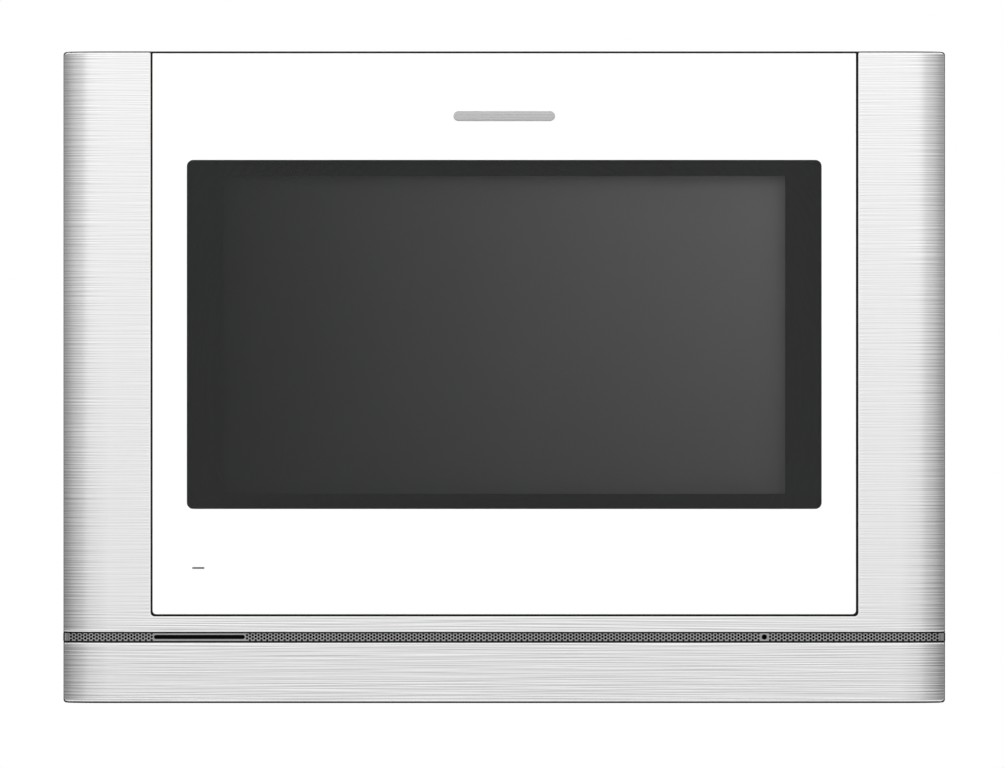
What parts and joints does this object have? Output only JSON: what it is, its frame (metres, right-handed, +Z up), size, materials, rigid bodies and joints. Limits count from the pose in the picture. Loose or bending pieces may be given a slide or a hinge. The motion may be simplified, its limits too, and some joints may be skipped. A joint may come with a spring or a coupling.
{
  "type": "video intercom monitor",
  "caption": "Wall-mounted video intercom monitor with display window, touch keys, perforated speaker strip, side dials, power slider and hook-on wall bracket.",
  "frame": {"origin": "centre of the wall bracket's wall face, level with the middle of the monitor", "axes": "+X right as seen from the room, +Y into the wall, +Z up"},
  "size_m": [0.2444, 0.0312, 0.1804],
  "materials": {
    "bracket_steel": "galvanised sheet",
    "case_black": "fine moulded texture",
    "trim_metal": "brushed along the width",
    "strip_grey": "satin grey metallic",
    "cloth_black": "fine acoustic cloth",
    "panel_white": "polished white acrylic",
    "badge_silver": "polished",
    "window_dark": "polished smoked acrylic",
    "print_black": "screen print",
    "tape_grey": "adhesive foam tape",
    "light_pipe": "clear acrylic",
    "foam_black": "closed-cell foam",
    "lcd_frame": "tinned sheet",
    "lcd_glass": "polished",
    "backlight_white": "moulded",
    "chassis_steel": "zinc plated",
    "screw_steel": "zinc plated",
    "ribbon_amber": "polyimide film",
    "board_green": "solder mask",
    "pad_grey": "conducting foam",
    "led_clear": "clear resin",
    "speaker_steel": "pressed steel",
    "cone_black": "plastic film",
    "magnet_grey": "plated",
    "wire_red": "insulated wire",
    "wire_yellow": "insulated wire",
    "wire_grey": "insulated wire",
    "mic_metal": "drawn can",
    "rubber_black": "moulded",
    "chip_black": "moulded resin",
    "can_tin": "tinned sheet",
    "capacitor": "drawn can",
    "socket_ivory": "moulded",
    "pin_brass": "plated",
    "relay_blue": "moulded",
    "terminal_green": "moulded",
    "winding_yellow": "taped",
    "sleeve_blue": "shrink sleeve",
    "sink_metal": "extruded",
    "fuse_glass": "polished",
    "label_silver": "printed film",
    "dial_black": "moulded",
    "pot_grey": "moulded",
    "knob_white": "moulded"
  },
  "bodies": {
    "bracket": {"wall_bracket": "bracket_steel"},
    "monitor": {"front_case": "case_black", "upper_trim": "trim_metal", "lower_trim": "trim_metal", "grille_strip": "strip_grey", "grille_cloth": "cloth_black", "front_panel": "panel_white", "badge_bar": "badge_silver", "display_window": "window_dark", "window_mask": "print_black", "panel_adhesive": "tape_grey", "status_light_pipe": "light_pipe", "lcd_gasket": "foam_black", "lcd_bezel": "lcd_frame", "lcd_glass": "lcd_glass", "lcd_backlight": "backlight_white", "chassis_plate": "chassis_steel", "chassis_screws": "screw_steel", "lcd_ribbon": "ribbon_amber", "key_board": "board_green", "touch_pads": "pad_grey", "key_leds": "led_clear", "key_ribbon": "ribbon_amber", "speaker_frame": "speaker_steel", "speaker_cone": "cone_black", "speaker_magnet": "magnet_grey", "speaker_seal": "foam_black", "speaker_lead": "wire_red", "microphone": "mic_metal", "microphone_boot": "rubber_black", "microphone_lead": "wire_yellow", "main_board": "board_green", "board_chips": "chip_black", "shield_can": "can_tin", "board_capacitors": "capacitor", "ribbon_connectors": "socket_ivory", "door_release_relay": "relay_blue", "camera_connectors": "socket_ivory", "connector_pins": "pin_brass", "mains_terminal": "terminal_green", "board_screws": "screw_steel", "power_board": "board_green", "transformer": "winding_yellow", "power_capacitors": "sleeve_blue", "heat_sink": "sink_metal", "fuse": "fuse_glass", "power_lead": "wire_red", "rear_cover": "case_black", "case_screws": "screw_steel", "rating_label": "label_silver", "wall_pads": "rubber_black", "dial_board": "board_green", "dial_pots": "pot_grey", "dial_ribbon": "wire_grey", "power_switch_body": "pot_grey"},
    "ring_volume": {"ring_volume_dial": "dial_black"},
    "voice_volume": {"voice_volume_dial": "dial_black"},
    "brightness": {"brightness_dial": "dial_black"},
    "power_slider": {"power_switch_slider": "knob_white"}
  },
  "joints": [
    {"name": "lift_off", "type": "slide", "parent": "bracket", "child": "monitor", "axis": [0, 0, 1], "range_m": [0, 0.0065]},
    {"name": "ring_volume_turn", "type": "hinge", "parent": "monitor", "child": "ring_volume", "pos_m": [0.111, -0.011, 0.03], "axis": [0, 1, 0], "range_deg": [-140, 140]},
    {"name": "voice_volume_turn", "type": "hinge", "parent": "monitor", "child": "voice_volume", "pos_m": [0.111, -0.011, 0.008], "axis": [0, 1, 0], "range_deg": [-140, 140]},
    {"name": "brightness_turn", "type": "hinge", "parent": "monitor", "child": "brightness", "pos_m": [0.111, -0.011, -0.014], "axis": [0, 1, 0], "range_deg": [-140, 140]},
    {"name": "power_slide", "type": "slide", "parent": "monitor", "child": "power_slider", "axis": [1, 0, 0], "range_m": [0, 0.004]}
  ]
}
